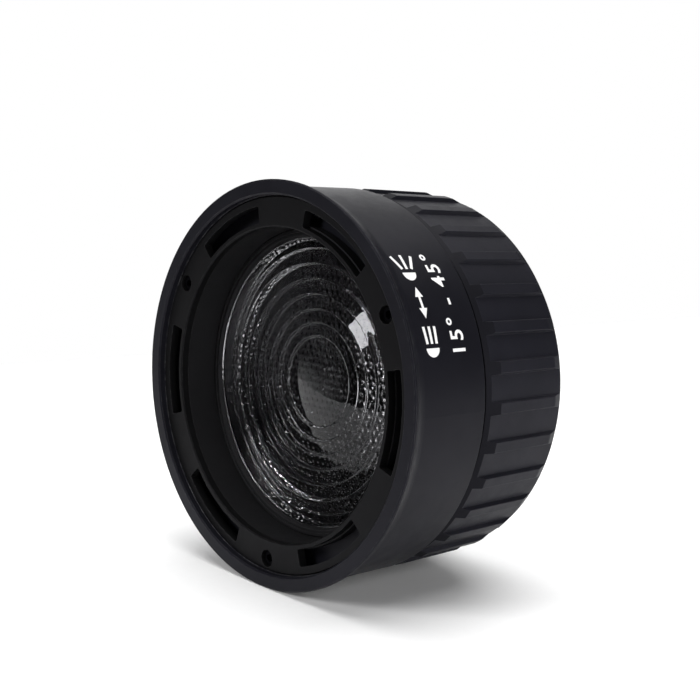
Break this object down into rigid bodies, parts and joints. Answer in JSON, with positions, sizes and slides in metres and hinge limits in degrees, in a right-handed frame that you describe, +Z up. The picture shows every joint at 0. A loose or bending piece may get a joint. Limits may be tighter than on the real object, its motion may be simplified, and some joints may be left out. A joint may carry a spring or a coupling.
{
  "type": "fresnel lens attachment",
  "caption": "Compact round Fresnel lens attachment for a studio light: flared black barrel, recessed slotted accessory ring, stepped lens and a ribbed zoom ring on a rear bayonet.",
  "frame": {"origin": "centre of the rear bayonet's seating face, on the optical axis", "axes": "+Y along the optical axis towards the lamp, so light leaves towards -Y; +Z up; +X to the right as seen from the front"},
  "size_m": [0.132, 0.0864, 0.132],
  "materials": {
    "barrel_black": "satin black anodised",
    "plate_black": "fine matt black anodised",
    "bore_black": "deep matt black anodised",
    "grip_rubber": "satin moulded",
    "lens_glass": "clear pressed, stippled back",
    "black_screw": "black oxide",
    "spring_steel": "blackened spring steel",
    "bayonet_steel": "turned and nickel plated",
    "plain_steel": "ground",
    "cam_alloy": "turned",
    "acetal_white": "satin",
    "glide_brown": "matt",
    "felt_black": "felt",
    "silicone_grey": "matt",
    "white_print": "pad-printed ink"
  },
  "bodies": {
    "barrel": {"front_barrel": "barrel_black", "front_plate": "plate_black", "front_screws": "black_screw", "accessory_springs": "spring_steel", "spring_rivets": "spring_steel", "guide_tube": "bore_black", "glide_bands": "glide_brown", "light_seal": "felt_black", "wave_washer": "spring_steel", "rear_housing": "barrel_black", "housing_screws": "black_screw", "bayonet_mount": "bayonet_steel", "bayonet_screws": "plain_steel"},
    "zoom_ring": {"ring_core": "barrel_black", "grip_sleeve": "grip_rubber", "cam_sleeve": "cam_alloy", "drive_screws": "plain_steel", "stop_pin": "plain_steel"},
    "lens_carriage": {"lens_cell": "bore_black", "fresnel_lens": "lens_glass", "lens_gasket": "silicone_grey", "lens_retainer": "bore_black", "follower_bushes": "acetal_white", "follower_screws": "plain_steel"}
  },
  "joints": [
    {"name": "zoom_turn", "type": "hinge", "parent": "barrel", "child": "zoom_ring", "pos_m": [0, -0.028, 0], "axis": [0, -1, 0], "range_deg": [-20, 70]},
    {"name": "lens_slide", "type": "slide", "parent": "barrel", "child": "lens_carriage", "axis": [0, 1, 0], "range_m": [-0.008, 0.028]}
  ],
  "couplings": [
    {"joint": "lens_slide", "follows": "zoom_turn", "m_per_rad": 0.022918}
  ]
}
